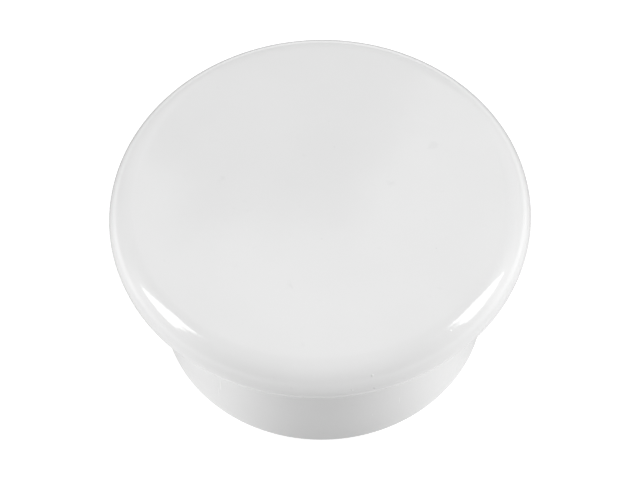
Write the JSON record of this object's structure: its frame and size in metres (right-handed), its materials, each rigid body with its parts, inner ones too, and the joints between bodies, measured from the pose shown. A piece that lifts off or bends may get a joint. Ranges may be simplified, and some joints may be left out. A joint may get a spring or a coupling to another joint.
{
  "type": "pipe cap",
  "caption": "Push-in pipe end cap: a round, slightly crowned head overhangs a hollow spigot, with an O-ring in a groove under the head that seals against the pipe's bore.",
  "frame": {"origin": "centre of the spigot's open end, which is also the centre of the bottom of the part", "axes": "+Z along the cap's axis, from the open end towards the head; the part is round about it, and +X runs through one of the gussets inside"},
  "size_m": [0.05, 0.05, 0.0239],
  "materials": {
    "white_moulding": "glossy",
    "seal_rubber": "satin"
  },
  "bodies": {
    "root": {"cap_body": "white_moulding", "seal_ring": "seal_rubber"}
  },
  "joints": []
}
